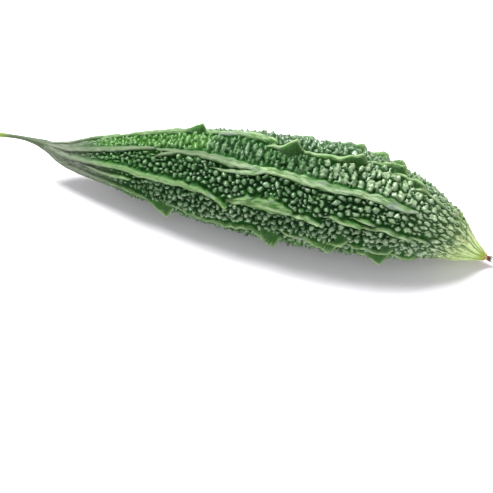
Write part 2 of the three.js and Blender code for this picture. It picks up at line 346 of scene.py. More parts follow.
def form_near(strand, at, across, strength):
    """A strand's form at points near it: where along it they lie, and its sizes there in mm."""
    share = (at - strand["start"]) / (strand["end"] - strand["start"])
    if strand["start"] <= FRUIT_START:
        share = OPEN_START + share * (1 - OPEN_START)
    past = np.clip((at - strand["end"]) / strand["drop"], 0, 1)
    half = smooth_value(STRAND_HALF_WIDTH, at) * strand["width"] * smooth_value(STRAND_WIDTHS, share)
    half = half * (1 + strand["widen"](at)) * (1 - NARROWING_PAST_END * past)
    if not strand["toothed"]:
        half = half * (1 - TONGUE_TAPER * ramp(share, TAPER_FROM, 1))
    bare = across * strand["bare_side"]
    climbed = np.clip(1 - (strand["end"] - at) / strand["climb"], 0, 1)
    rise = strand["tooth"] * strength * (climbed ** CLIMB_POWER * (1 - past) ** DROP_POWER)
    return {
        "share": share, "past": past, "half": half, "aside": np.abs(across), "bare": bare,
        "slope": half * np.where(bare > 0, BARE_SLOPE, STEEP_SLOPE),
        "rise": rise, "foot": TENT_FOOT * half + TENT_SPREAD * rise,
    }


first_form = form_near(strands[0], np.array([30.0, 50.0, 70.0]), np.zeros(3), 1.0)
print("half widths along the first strand, in mm:", first_form["half"].round(2).tolist())

# %% [markdown]
# ## Cord, tooth and bare side
#
# In section a strand is a rounded cord, and the pale and the broad ones are flat on top. A tooth is a
# tent that stands on the cord. Warts keep some room beside both. Three helpers turn the form of a
# strand into measures at each point: what its cord does there, what its tooth and its bare side do,
# and how much room is left.

# %% Measure one strand
STRAND_HEIGHTS = [(0, 0.25), (0.25, 0.8), (0.6, 1.05), (1, 1.1)]
CREST_FLAT = 0.42
SOFT_START = 3
EDGE_WIDTH, EDGE_IF_PALE = 0.66, 0.66
END_PATCH = 7.0
FACE_RISE, FACE_SHARPNESS = 1.2, 3
BARE_SOFTNESS, BARE_REACH, BARE_START = 1.5, 3.4, 6
BARE_CLEAR = 0.3
STRAND_CORE, TENT_CORE = 0.62, 0.8
CLEAR_BEFORE, CLEAR_PAST_END = 1, 0.6
FAR = 99.0


def bell(distance, half_width, flat):
    """A rounded section: 1 on the crest, of which a share is flat, and 0 at the foot."""
    return smooth_step(1 - (distance / half_width - flat) / (1 - flat))


def cord_measures(strand, at, across, strength, form):
    """What the cord of a strand does at points near it."""
    mask = bell(form["aside"], form["slope"], CREST_FLAT * max(strand["pale"] ** 2, strand["broad"]))
    mask = mask * smooth_step(1 - form["past"]) * smooth_step((at - strand["start"]) / SOFT_START + 1)
    return {
        "mask": mask,
        "height": smooth_value(STRAND_HEIGHTS, form["share"]),
        "wave": mask * strength * strand["lift"](at),
        "edge": smooth_step(1 - form["aside"] / (EDGE_WIDTH + EDGE_IF_PALE * strand["pale"])),
        "pale": strand["pale"],
        "across": across,
        "end": smooth_step(1 - (strand["end"] - at) / END_PATCH),
    }


def tooth_measures(strand, at, form):
    """What the tooth and the bare side of a strand do at points near it."""
    tent = np.clip(1 - form["aside"] / form["foot"], 0, 1)
    from_edge = form["bare"] - form["half"]
    beside = smooth_step(from_edge / BARE_SOFTNESS + 1) * smooth_step(1 - from_edge / BARE_REACH)
    beside = beside * smooth_step((at - strand["start"]) / BARE_START)
    return {
        "tooth": form["rise"] * tent,
        "face": smooth_step(FACE_SHARPNESS * tent) * smooth_step(form["rise"] / FACE_RISE),
        "beside": beside * smooth_step(1 - form["past"]),
    }


def room_beside(strand, at, form):
    """How far points lie from the cord and the tooth of a strand, in mm, less the bare side's share."""
    core = np.maximum(STRAND_CORE * form["slope"], TENT_CORE * form["foot"] * (form["rise"] > 1))
    room = form["aside"] - core - BARE_CLEAR * (form["bare"] > 0)
    last = strand["end"] + CLEAR_PAST_END * strand["drop"]
    return np.where((at > strand["start"] - CLEAR_BEFORE) & (at < last), room, FAR)


first_cord = cord_measures(strands[0], np.array([30.0, 50.0, 70.0]), np.zeros(3), 1.0, first_form)
print("its crest as a share of the ridge's height:", first_cord["height"].round(2).tolist())

# %% [markdown]
# ## Asking the skin about strands
#
# One function answers for any point of the skin, by asking every strand near it. Where strands
# overlap the higher cord wins, and so does the higher tooth. The warts ask it too, to keep off the
# strands. The same answers later tell the colours where a crest, an edge, a tooth's face or a bare
# side is.

# %% Look up the strands
CORD_KEYS = ("mask", "height", "wave", "edge", "pale", "across", "end")
TOOTH_KEYS = ("tooth", "face", "beside")
LOOK_AROUND = 3


def wrapped(turn):
    """An angle as its equal between minus and plus half a turn."""
    return (turn + np.pi) % (2 * np.pi) - np.pi


def strands_at(station, angle):
    """What the strands do at points of the skin: a dictionary of arrays, heights in mm."""
    girth = smooth_value(RIDGE_RADII, station)
    strength = np.clip(smooth_value(RIDGE_HEIGHTS, station) / FULL_RIDGE, 0, 1)
    found = {key: np.zeros_like(station) for key in CORD_KEYS + TOOTH_KEYS}
    found["gap"] = np.full_like(station, FAR)
    for strand in strands:
        last = strand["end"] + strand["drop"]
        near = (station > strand["start"] - LOOK_AROUND) & (station < last + LOOK_AROUND)
        at, turn = station[near], angle[near]
        middle = np.radians(smooth_value(strand["line"], at))
        across = girth[near] * wrapped(turn - middle) - strand["sideways"](at)
        form = form_near(strand, at, across, strength[near])
        cord = cord_measures(strand, at, across, strength[near], form)
        higher = cord["mask"] * cord["height"] > found["mask"][near] * found["height"][near]
        for key, value in cord.items():
            found[key][near] = np.where(higher, value, found[key][near])
        for key, value in tooth_measures(strand, at, form).items():
            found[key][near] = np.maximum(found[key][near], value)
        found["gap"][near] = np.minimum(found["gap"][near], room_beside(strand, at, form))
    return found


ring_angles = np.linspace(-np.pi, np.pi, 720, endpoint=False)
widest_ring = strands_at(np.full(len(ring_angles), float(widest[0])), ring_angles)
print(f"strands cover {(widest_ring['mask'] > 0.5).mean():.0%} of the widest ring")

# %% [markdown]
# ## The grid under the skin
#
# The mesh follows the guides: its columns are shared out between neighbouring ridges, more of them
# where the warts are large or easily seen. Rows are close wherever warts stand, and wider at the neck
# and at the tip. That spends the triangles where the eye needs them.

# %% Rows and columns
COLUMNS = [31, 31, 27, 33, 38, 38, 48, 34]
ROW_SPACING = [(27, 1.3), (50, 1.0), (72, 0.645), (240, 0.645), (261.4, 0.85)]
RULER_MARKS = 2000

ruler = np.linspace(FRUIT_START, FRUIT_END, RULER_MARKS)
rows_so_far = np.concatenate([[0], np.cumsum(np.diff(ruler) / smooth_value(ROW_SPACING, ruler[:-1]))])
row_count = int(rows_so_far[-1])
row_stations = np.interp(np.linspace(0, rows_so_far[-1], row_count), rows_so_far, ruler)
station = np.repeat(row_stations[:, None], sum(COLUMNS), axis=1)
sector = np.repeat(np.arange(len(GUIDES)), COLUMNS)
sector_share = np.concatenate([np.arange(count) / count for count in COLUMNS])[None, :]
guide_angles = np.radians([smooth_value(guide, row_stations) for guide in GUIDES.values()]).T
guide_angles = np.hstack([guide_angles, guide_angles[:, :1] + 2 * np.pi])
sector_turn = guide_angles[:, sector + 1] - guide_angles[:, sector]
angle = guide_angles[:, sector] + sector_turn * sector_share
radius = smooth_value(RIDGE_RADII, station)
skin_strands = strands_at(station, angle)
widest_sector = (radius * sector_turn).max()
print(f"grid: {row_count} rows by {sum(COLUMNS)} columns, sectors {widest_sector:.1f} mm wide at most")

# %% [markdown]
# ## The size of warts
#
# Warts are the gourd's signature. They are small by the neck and largest from the belly onwards.
# Between the shoulder and the crown they are larger still, and drawn out across the fruit. Near the
# tip they are drawn out along it, like folds. Four short lists say so, and one helper reads them.

# %% Size the warts
WART_RADIUS = [
    (38, 0.6), (60, 0.9), (90, 1.15), (130, 1.35), (200, 1.4), (222, 1.35), (240, 1.3), (261, 1.15),
]
ACROSS = [(40, 1.0), (216, 1.0), (234, 0.75), (246, 0.55), (261, 0.42)]
SHOULDER = list(GUIDES).index("shoulder")
SHOULDER_ACROSS = [
    (40, 1.2), (90, 1.35), (130, 1.6), (190, 1.5), (212, 1.2), (226, 0.95), (236, 0.72), (248, 0.55),
    (261, 0.42),
]
SHOULDER_SIZE = [
    (40, 0.85), (90, 1.0), (125, 1.5), (175, 1.5), (205, 1.25), (232, 1.1), (246, 1.0), (261, 1.0),
]


def wart_kind(number, at):
    """The usual radius of a wart in a sector, in mm, and how far it is drawn out across the fruit."""
    by_crown = number == SHOULDER
    size = smooth_value(WART_RADIUS, at) * np.where(by_crown, smooth_value(SHOULDER_SIZE, at), 1)
    return size, np.where(by_crown, smooth_value(SHOULDER_ACROSS, at), smooth_value(ACROSS, at))


belly = float(widest[0])
usual_radius, crown_radius = wart_kind(0, belly)[0], wart_kind(SHOULDER, belly)[0]
print(f"warts at the belly: radius {usual_radius:.2f} mm, by the crown {crown_radius:.2f} mm")

# %% [markdown]
# ## Scattering warts
#
# Warts crowd each other like pebbles: large domes, and smaller ones in the gaps that are left. So
# that is how they are placed here. A wart of a set size is tried at a random spot of the skin and
# stays if it touches no other and keeps off the ridges. Large sizes go first. A regular lattice would
# be quicker, but its rows show.

# %% Scatter warts
WART_SIZES = [1.45, 1.2, 0.97, 0.8, 0.64, 0.48]
WART_TRIES = [1800, 6000, 9000, 9000, 8000, 6000]
WART_TOUCH = 0.82
WART_CLEARANCE = 0.6
WARTS_START, WARTS_END = 40, 259


def try_warts(size, tries):
    """Random warts that keep off the ridges: station, angle, radius, how far across, size."""
    grown = np.cumsum(smooth_value(RIDGE_RADII, ruler))
    at = np.interp(chance.random(tries), grown / grown[-1], ruler)
    at = at[(at > WARTS_START) & (at < WARTS_END)]
    guides = np.stack([np.interp(at, row_stations, line) for line in guide_angles.T], axis=1)
    turn = guides[:, 0] + 2 * np.pi * chance.random(len(at))
    usual, across = wart_kind((turn[:, None] >= guides).sum(axis=1) - 1, at)
    wart_radius = size * usual
    free = strands_at(at, turn)["gap"] > WART_CLEARANCE * wart_radius
    return np.stack([at, turn, wart_radius, across, np.full(len(at), size)], axis=1)[free]


def clash(some, others):
    """Whether each of some warts touches each of the others."""
    girth = smooth_value(RIDGE_RADII, some[:, 0])[:, None]
    across = some[:, 3][:, None]
    ahead = (some[:, 0][:, None] - others[:, 0]) * across
    aside = girth * wrapped(some[:, 1][:, None] - others[:, 1]) / across
    return np.hypot(ahead, aside) < WART_TOUCH * (some[:, 2][:, None] + others[:, 2])


warts = np.zeros((0, 5))
for size, tries in zip(WART_SIZES, WART_TRIES):
    new_warts = try_warts(size, tries)
    new_warts = new_warts[~clash(new_warts, warts).any(axis=1)]
    kept = np.zeros(len(new_warts), bool)
    for index, row in enumerate(clash(new_warts, new_warts)):
        kept[index] = not row[:index][kept[:index]].any()
    warts = np.vstack([warts, new_warts[kept]])
    print(f"size {size}: {kept.sum()} warts")

# %% [markdown]
# ## An uneven skin
#
# No wart is a true oval. The ruler is bent a little at random before any wart is measured with it,
# which makes every outline uneven. A finer random crumple will wrinkle the domes, and fine wrinkles
# will cross the faces of the teeth. All of them are sums of sines that run in random directions.

# %% Bend and crumple the skin
BEND_SIZE, BEND_LENGTHS = 0.2, (5.2, 3.4, 2.3)
CRUMPLE_SIZE, CRUMPLE_LENGTHS = 0.1, (2.9, 2.1)
WRINKLE_SIZE, WRINKLE_LENGTHS = 0.13, (4.1, 2.7)
WAVES_OF_A_LENGTH = 5


def uneven(size, lengths):
    """A random push over the skin, in mm, that changes every few millimetres."""
    push = np.zeros_like(station)
    for length in lengths:
        for _ in range(WAVES_OF_A_LENGTH):
            heading, phase = chance.uniform(0, 2 * np.pi, 2)
            wave = station * np.cos(heading) + radius * angle * np.sin(heading)
            push += np.sin(wave * 2 * np.pi / length + phase)
    return size * push / len(lengths)


bent_station = station + uneven(BEND_SIZE, BEND_LENGTHS)
bent_round = uneven(BEND_SIZE, BEND_LENGTHS)
crumple = uneven(CRUMPLE_SIZE, CRUMPLE_LENGTHS)
face_wrinkles = uneven(WRINKLE_SIZE, WRINKLE_LENGTHS)
print(f"the ruler is bent by up to {np.abs(bent_station - station).max():.1f} mm")

# %% [markdown]
# ## Raising the warts
#
# Each wart is a dome that stands on an oval. A power below one makes its sides steep and its top
# round. Every point of the grid keeps its distance to the nearest wart and to the second nearest,
# counted in radii. Where the two are alike a crease is cut, so that crowded warts stay apart.

# %% Raise warts
LONG_WART = (1.0, 1.8)
DRAWN_ACROSS, TURN_SPREAD = 1.05, 0.35
HIGHEST_DOME, SIZE_POWER, HEIGHT_SPREAD = 1.15, 0.7, (0.8, 1.1)
DOME_POWER = 0.88
DOME_REACH = [(40, 1.18), (200, 1.2), (225, 1.42), (240, 1.6), (261, 1.6)]
CROWN_REACH = [(40, 1.25), (110, 1.3), (150, 1.42), (190, 1.55), (225, 1.65), (261, 1.7)]
CREASE_WIDTH = 0.36
CRUMPLE_PLACES = [(40, 0.5), (150, 1.0), (200, 1.3), (225, 1.9), (261, 1.9)]
LOOK_RADII, NO_WART = 2.2, 9.0

nearest = np.full_like(station, NO_WART)
second = np.full_like(station, NO_WART)
wart_height = np.zeros_like(station)
wart_number = np.zeros_like(station)


def lay_wart(at, around, wart_radius, height, across, turn, long):
    """Measure the grid's distance to one wart, and hand it the points it is nearest to."""
    reach = LOOK_RADII * wart_radius * long / min(across, 1)
    rows = slice(*np.searchsorted(row_stations, [at - reach, at + reach]))
    ahead = (bent_station[rows] - at) * across
    aside = (radius[rows] * wrapped(angle[rows] - around) + bent_round[rows]) / across
    lengthwise = (ahead * np.cos(turn) + aside * np.sin(turn)) / long
    crosswise = (aside * np.cos(turn) - ahead * np.sin(turn)) * long ** 0.5
    away = np.hypot(lengthwise, crosswise) / wart_radius
    nearer = away < nearest[rows]
    second[rows] = np.where(nearer, nearest[rows], np.minimum(second[rows], away))
    nearest[rows] = np.where(nearer, away, nearest[rows])
    wart_height[rows] = np.where(nearer, height, wart_height[rows])
    wart_number[rows] = np.where(nearer, chance.random(), wart_number[rows])


for at, around, wart_radius, across, size in warts:
    if across > DRAWN_ACROSS:
        turn = np.pi / 2 + chance.uniform(-TURN_SPREAD, TURN_SPREAD)
    else:
        turn = chance.uniform(0, np.pi)
    long = LONG_WART[0] + chance.random() ** 2 * (LONG_WART[1] - LONG_WART[0])
    height = min(HIGHEST_DOME, size ** SIZE_POWER) * chance.uniform(*HEIGHT_SPREAD)
    lay_wart(at, around, wart_radius, height, across, turn, long)

dome_reach = smooth_value(DOME_REACH, station)
dome_reach[:, sector == SHOULDER] = smooth_value(CROWN_REACH, station[:, sector == SHOULDER])
dome = np.clip(1 - (nearest / dome_reach) ** 2, 0, 1) ** DOME_POWER
dome = dome * smooth_step((second - nearest) / CREASE_WIDTH)
wart_share = wart_height * dome * (1 + crumple * smooth_value(CRUMPLE_PLACES, station))
print(f"{len(warts)} warts, height share up to {wart_share.max():.2f}")

# %% [markdown]
# ## Strands over warts
#
# A strand is a rounded cord on the skin. It leans over a little, so that its lower edge throws a
# shadow. Where strand and wart meet, the higher of the two wins, softly. Teeth lean further, along
# the fruit and sideways. Towards the tip fine ribs rise, which gather at the flower.

# %% Raise strands and warts on the skin
TOOTH_LEAN = 0.12
TOOTH_FOLD = 0.12
RIDGE_FOLD = 0.22
SKIN_BULGE = 0.3
BLEND_SOFTNESS = 0.3
STRAND_EDGE = 0.9
RIB_COUNTS = (11, 18, 27)
RIB_HEIGHTS = [(27, 0), (228, 0), (238, 0.45), (247, 0.75), (256, 0.5), (261, 0.15)]
RIB_SWAY, RIB_SWAY_LENGTH = 0.05, 3.1


def softly_higher(a, b, softness):
    """The higher of two heights, with a soft hollow where they meet."""
    mix = np.clip(0.5 + 0.5 * (a - b) / softness, 0, 1)
    return b + (a - b) * mix + softness * mix * (1 - mix) / 2


on_strand = np.maximum(skin_strands["mask"], skin_strands["face"])
off_strands = 1 - smooth_step(on_strand / STRAND_EDGE)
rib_turn = angle + RIB_SWAY * np.sin(station / RIB_SWAY_LENGTH)
rib_phases = chance.uniform(0, 2 * np.pi, len(RIB_COUNTS))
tip_rib = sum(np.cos(count * rib_turn + phase) for count, phase in zip(RIB_COUNTS, rib_phases))
tip_rib = smooth_step(0.5 + tip_rib / len(RIB_COUNTS))
ridge_height = smooth_value(RIDGE_HEIGHTS, station)
ridge_strength = np.clip(ridge_height / FULL_RIDGE, 0, 1)
strand_relief = ridge_height * skin_strands["mask"] * skin_strands["height"]
wart_relief = smooth_value(WART_HEIGHTS, station) * wart_share * off_strands
bulge = SKIN_BULGE * ridge_strength * np.sin(np.pi * sector_share)
fruit_radius = radius - ridge_height + bulge + softly_higher(strand_relief, wart_relief, BLEND_SOFTNESS)
fruit_radius = fruit_radius + skin_strands["wave"] + skin_strands["tooth"]
fruit_radius = fruit_radius + smooth_value(RIB_HEIGHTS, station) * tip_rib
fruit_radius = fruit_radius + face_wrinkles * skin_strands["face"]
lean = TOOTH_LEAN * skin_strands["tooth"]
fold = -TOOTH_FOLD * skin_strands["tooth"] - RIDGE_FOLD * strand_relief
fruit_points = round_axis(station, angle, fruit_radius, push=lean, slide=fold)
fruit_points[..., 2] = np.maximum(fruit_points[..., 2], 0)
print(f"radius up to {fruit_radius.max():.1f} mm, teeth up to {skin_strands['tooth'].max():.1f} mm high")

# %% [markdown]
# ## Where the colours will change
#
# Real skin changes colour by region, and the light adds to it. The top is darkest half way along.
# The neck's grey-green reaches further on the lower side. Ridges are duller from the neck to the
# middle, all but those near the crown. Warts are paler on top of the shoulder towards the tip, a
# painted pool of the overhead light, and half as much along the side, and one patch by the crown is
# fresh green. Each of these is a measure from 0 to 1 at every point, worked out from station and
# angle. The mesh carries them, which is simpler than wrapping something flat round such a form.

# %% Measure the regions of the skin
TOP_DEGREES, SIDE_DEGREES = 78, -3
FRESH_STATION, FRESH_DEGREES = 88, 98
FRESH_LENGTH, FRESH_WIDTH = 32, 27

degrees = np.degrees(angle)
from_top, from_side = np.abs(degrees - TOP_DEGREES), np.abs(degrees - SIDE_DEGREES)
top = bell(from_top, 34, 0.4) * ramp(station, 110, 132) * ramp(station, 205, 160)
under = ramp(degrees, 50, 20) * ramp(degrees, -130, -100)
dull = ramp(station, 149, 116) * (1 - 0.75 * ramp(degrees, 95, 107))
# Paler warts on top of the shoulder towards the tip, a painted pool of the overhead light, and half as
# much along the side.
pale_and_lit = bell(from_top, 40, 0.4) * ramp(station, 168, 198)
pale_and_lit = pale_and_lit + 0.5 * bell(from_side, 27, 0.3) * ramp(station, 95, 120)
fresh = np.exp(
    -((station - FRESH_STATION) / FRESH_LENGTH) ** 2 - ((degrees - FRESH_DEGREES) / FRESH_WIDTH) ** 2
)
for label, region in (("top", top), ("under", under), ("dull", dull), ("pale_and_lit", pale_and_lit), ("fresh", fresh)):
    print(f"{label}: {(region > 0.5).mean():.0%} of the points")

# %% [markdown]
# ## Rings into a mesh
#
# The points already lie in rings, so a skin needs only faces: four-sided ones between neighbouring
# rings, and a fan of triangles at each end to close it. The measures go along as attributes of the
# mesh, which the finishes read later. The fruit is the first piece that is made so.

# %% Build the fruit
def ring_mesh(name, points, measures):
    """A closed smooth mesh from rings of points, shape (rings, sides, 3), with measures at them."""
    rings, sides = points.shape[:2]
    index = np.arange(rings * sides).reshape(rings, sides)
    turned = np.roll(index, -1, axis=1)
    quads = np.stack([index[:-1], index[1:], turned[1:], turned[:-1]], axis=-1).reshape(-1, 4)
    middles = np.stack([points[0].mean(0), points[-1].mean(0)])
    first, last = rings * sides, rings * sides + 1
    caps = [(first, int(a), int(b)) for a, b in zip(index[0], turned[0])]
    caps += [(last, int(b), int(a)) for a, b in zip(index[-1], turned[-1])]
    corners = np.concatenate([points.reshape(-1, 3), middles]) * MM
    mesh = bpy.data.meshes.new(name)
    mesh.from_pydata(corners.tolist(), [], quads.tolist() + caps)
    mesh.shade_smooth()
    for label, measure in measures.items():
        grid = np.broadcast_to(measure, (rings, sides))
        layer = mesh.attributes.new(label, "FLOAT", "POINT")
        ends = [grid[0].mean(), grid[-1].mean()]
        layer.data.foreach_set("value", np.concatenate([grid.ravel(), ends]).astype(np.float32))
    piece = bpy.data.objects.new(name, mesh)
    bpy.context.scene.collection.objects.link(piece)
    print(f"{name}: {len(mesh.vertices)} points, {len(quads) * 2 + len(caps)} triangles")
    return piece


fruit_measures = {
    "wart": dome * off_strands,
    "ridge": on_strand,
    "along": (station - FRUIT_START) / (FRUIT_END - FRUIT_START),
    "number": wart_number,
    "rib": tip_rib,
    "top": top, "under": under, "dull": dull, "pale_and_lit": pale_and_lit, "fresh": fresh,
}
for label in ("edge", "face", "beside", "pale", "end", "across"):
    fruit_measures[label] = skin_strands[label]
fruit = ring_mesh("gourd_fruit", fruit_points, fruit_measures)

# %% [markdown]
# ## The stalk
#
# The stalk is what the fruit hung from. It is thin, softly ribbed and cut off with a knife, which
# leaves a slightly hollow face, and it flares into the neck. The same ring builder makes it. It runs
# a little way into the neck, where nothing shows, so that no seam opens between the two.

# %% Model the stalk
STALK_RADII = [(0, 1.38), (2, 1.22), (9, 1.0), (17, 1.2), (23, 1.9), (27, 2.7), (30, 3.2), (33, 3.2)]
STALK_ROWS, STALK_SIDES = 150, 60
STALK_RIBS, RIB_DEPTH, RIB_TWIST = 5, 0.07, 0.05
STALK_FIBRES, FIBRE_DEPTH = 17, 0.018
FIBRE_SWAY, FIBRE_SWAY_LENGTH = 0.3, 3
CUT_RINGS = [(0.02, 0.5), (0.35, 0.45), (0.62, 0.2), (0.82, 0.0), (0.94, 0.05)]


def ring_grid(stations, sides):
    """Stations and angles of the points of evenly divided rings."""
    return np.meshgrid(stations, np.linspace(0, 2 * np.pi, sides, endpoint=False), indexing="ij")


stalk_shares = np.linspace(0, 1, STALK_ROWS)
stalk_station, stalk_angle = ring_grid(stalk_shares * STALK_RADII[-1][0], STALK_SIDES)
rib = np.cos(STALK_RIBS * stalk_angle + RIB_TWIST * stalk_station)
fibre = np.cos(STALK_FIBRES * stalk_angle + FIBRE_SWAY * np.sin(stalk_station / FIBRE_SWAY_LENGTH))
stalk_radius = smooth_value(STALK_RADII, stalk_station) * (1 + RIB_DEPTH * rib + FIBRE_DEPTH * fibre)
cut_shares, cut_depths = np.array(CUT_RINGS).T
cut_station, cut_angle = ring_grid(cut_depths, STALK_SIDES)
cut_rings = round_axis(cut_station, cut_angle, cut_shares[:, None] * stalk_radius[0])
stalk_rings = round_axis(stalk_station, stalk_angle, stalk_radius)
in_cut = np.concatenate([np.ones(len(CUT_RINGS)), np.zeros(STALK_ROWS)])
along_stalk = np.concatenate([np.zeros(len(CUT_RINGS)), stalk_shares])
stalk_measures = {"along": along_stalk[:, None], "cut": in_cut[:, None]}
stalk = ring_mesh("gourd_stalk", np.concatenate([cut_rings, stalk_rings]), stalk_measures)

# %% [markdown]
# ## The dried flower
#
# The flower withers but often stays on the tip. A straw-coloured collar holds six dark, shrivelled
# strips, which were petals. Each is a thin tapering ribbon that curls on its own path. They are cheap
# to make with the same ring builder, one stack of small rings to a strip, joined in one mesh.

# %% Model the dried flower
COLLAR_RADII = [(260.6, 1.9), (261.3, 2.2), (261.9, 1.75), (262.5, 1.15), (263.0, 0.85)]
COLLAR_ROWS, COLLAR_SIDES = 26, 40
COLLAR_FOLDS, FOLD_DEPTH = 5, 0.09
COLLAR_CREASES, CREASE_DEPTH = 13, 0.05
PETAL_LENGTHS = [5.8, 4.9, 5.4, 4.4, 5.2, 4.0]
PETAL_ROWS, PETAL_SIDES = 22, 8
PETALS_START = 262.0
PETAL_ROOT, PETAL_OUT, OUT_POWER, PETAL_CURL = 0.5, 1.9, 1.3, 0.28
USUAL_REACH, REACH_SPREAD = 0.75, 0.35
PETAL_SPREAD, PETAL_TWIST = 0.9, 2.2
PETAL_THICKNESS, END_THICKNESS = 0.62, 0.05
PETAL_FLATNESS, FLATNESS_WAVE, FLATNESS_TURN = 0.45, 0.25, 5
WITHERED = (0.8, 1.8)


def petal_points(turn, length):
    """Rings of one withered petal: it leaves the collar, spreads and curls."""
    t = np.linspace(0, 1, PETAL_ROWS)[:, None]
    spread, reach, twirl = chance.uniform(-1, 1, 3)
    heading = turn + PETAL_SPREAD * spread * t
    out = PETAL_ROOT + PETAL_OUT * t ** OUT_POWER * (USUAL_REACH + REACH_SPREAD * reach)
    centre = round_axis(PETALS_START + length * (t - PETAL_CURL * t * t), heading, out)
    thick = PETAL_THICKNESS * (1 - t) ** 0.5 + END_THICKNESS
    flat = PETAL_FLATNESS + FLATNESS_WAVE * np.sin(FLATNESS_TURN * t + twirl)
    sides = np.linspace(0, 2 * np.pi, PETAL_SIDES, endpoint=False)[None, :]
    twist = heading + PETAL_TWIST * twirl * t
    local_y, local_z = thick * np.cos(sides), thick * flat * np.sin(sides)
    rings = centre.repeat(PETAL_SIDES, axis=1)
    rings[..., 1] += -local_y * np.cos(twist) + local_z * np.sin(twist)
    rings[..., 2] += local_y * np.sin(twist) + local_z * np.cos(twist)
    return rings


collar_rows = np.linspace(COLLAR_RADII[0][0], COLLAR_RADII[-1][0], COLLAR_ROWS)
collar_station, collar_angle = ring_grid(collar_rows, COLLAR_SIDES)
collar_fold = np.cos(COLLAR_FOLDS * collar_angle + collar_station)
collar_crease = np.cos(COLLAR_CREASES * collar_angle)
wrinkle = 1 + FOLD_DEPTH * collar_fold + CREASE_DEPTH * collar_crease
collar_radius = smooth_value(COLLAR_RADII, collar_station) * wrinkle
collar_rings = round_axis(collar_station, collar_angle, collar_radius)
flower_parts = [ring_mesh("gourd_dried_flower", collar_rings, {"withered": 0.0})]
withered = np.linspace(*WITHERED, PETAL_ROWS)[:, None]
for number, length in enumerate(PETAL_LENGTHS):
    turn = 2 * np.pi * number / len(PETAL_LENGTHS)
    flower_parts.append(ring_mesh(f"petal_{number}", petal_points(turn, length), {"withered": withered}))
with bpy.context.temp_override(active_object=flower_parts[0], selected_editable_objects=flower_parts):
    bpy.ops.object.join()
flower = flower_parts[0]
print("dried flower:", len(flower.data.vertices), "points in one mesh")

# %% [markdown]
# ## A small language for finishes
#
# A finish is a little formula: so much of this colour where the skin is low, so much of that where it
# is high. Node trees hide such formulas in boxes and lines. This class lets them be written as
# Python: a wire knows plus, minus and times, and each adds one Math node.

# %% Wires
class Wire:
    """One value in a node tree. Python's operators on it add Math nodes."""

    def __init__(self, finish, socket):
        self.finish = finish
        self.socket = socket

    def math(self, operation, first, second):
        """The result of one Math node."""
        return self.finish.node("Math", {"operation": operation}, {0: first, 1: second})

    def __add__(self, other):
        return self.math("ADD", self, other)

    def __sub__(self, other):
        return self.math("SUBTRACT", self, other)

    def __rsub__(self, other):
        return self.math("SUBTRACT", other, self)

    def __mul__(self, other):
        return self.math("MULTIPLY", self, other)

    __radd__ = __add__
    __rmul__ = __mul__


print("a wire's methods:", [name for name, method in vars(Wire).items() if callable(method)])

# %% [markdown]
# ## Finishes
#
# A finish is one Principled shader with the wires that feed it. Constants are set on the shader's own
# sockets. One method adds any node, and the others are short names for what is used often: a measure
# of the mesh, a soft step, a mix of two colours, noise, and a bump. The floor's white is the simplest
# finish there is, so it is made first.

# %% Finishes
FLOOR_WHITE = (0.925, 0.905, 0.94, 1)
FRUIT_LENGTH = 230
GRAIN_ROUGHNESS = 0.55


class Finish:
    """A material being made: one Principled shader and the wires that feed it."""

    def __init__(self, name, **constants):
        self.material = bpy.data.materials.new(name)
        self.material.use_nodes = True
        self.tree = self.material.node_tree
        self.shader = self.tree.nodes["Principled BSDF"]
        for label, value in constants.items():
            self.shader.inputs[self.socket_name(label)].default_value = value

    @staticmethod
    def socket_name(label):
        """A socket's name from a label, such as Base Color from base_color."""
        return label.replace("_", " ").title().replace("Ior", "IOR")

    def node(self, kind, settings=None, inputs=None, output=0):
        """Add one node: first its settings, then the values or wires of its sockets."""
        node = self.tree.nodes.new("ShaderNode" + kind)
        for label, value in (settings or {}).items():
            setattr(node, label, value)
        for label, value in (inputs or {}).items():
            self.feed(node.inputs[label], value)
        return Wire(self, node.outputs[output])

    def feed(self, socket, value):
        """Link a wire to a socket, or set a plain value on it."""
        if isinstance(value, Wire):
            self.tree.links.new(value.socket, socket)
        else:
            socket.default_value = value

    def measure(self, label):
        """One of the mesh's own measures."""
        return self.node("Attribute", {"attribute_name": label}, output="Fac")

    def step(self, value, low, high):
        """0 below low, 1 above high, and smooth between."""
        return self.node(
            "MapRange", {"interpolation_type": "SMOOTHSTEP"},
            {"Value": value, "From Min": low, "From Max": high},
        )

    def mix(self, share, first, second):
        """A colour between two, as a share of the second."""
        return self.node(
            "Mix", {"data_type": "RGBA"}, {"Factor": share, 6: first, 7: second}, output=2,
        )

    def noise(self, size_mm, stretch=(1, 1, 1), detail=2.0):
        """Soft noise in the piece's own space. Its grains are about size_mm across, times stretch."""
        place = self.node("TexCoord", output="Object")
        scale = tuple(1 / (size_mm * MM * s) for s in stretch)
        place = self.node("Mapping", inputs={"Vector": place, "Scale": scale})
        inputs = {"Vector": place, "Scale": 1.0, "Detail": detail, "Roughness": GRAIN_ROUGHNESS}
        return self.node("TexNoise", inputs=inputs)

    def line_noise(self, place, grain_mm, aside=0.0):
        """Noise of long grains: so many mm along the fruit, and one unit of another measure wide."""
        row = self.node("CombineXYZ", inputs={"X": place * (FRUIT_LENGTH / grain_mm), "Y": aside})
        return self.node("TexNoise", inputs={"Vector": row, "Scale": 1.0, "Detail": 2.0})

    def bump(self, height, depth_mm):
        """A bump of the given depth, to feed Normal."""
        return self.node("Bump", inputs={"Height": height, "Distance": depth_mm * MM, "Strength": 1.0})

    def finish(self, **wires):
        """Feed the shader and hand over the material."""
        for label, value in wires.items():
            self.feed(self.shader.inputs[self.socket_name(label)], value)
        print(f"{self.material.name}: {len(self.tree.nodes)} nodes")
        return self.material


floor_white = Finish("floor_white", roughness=0.9).finish(base_color=FLOOR_WHITE)

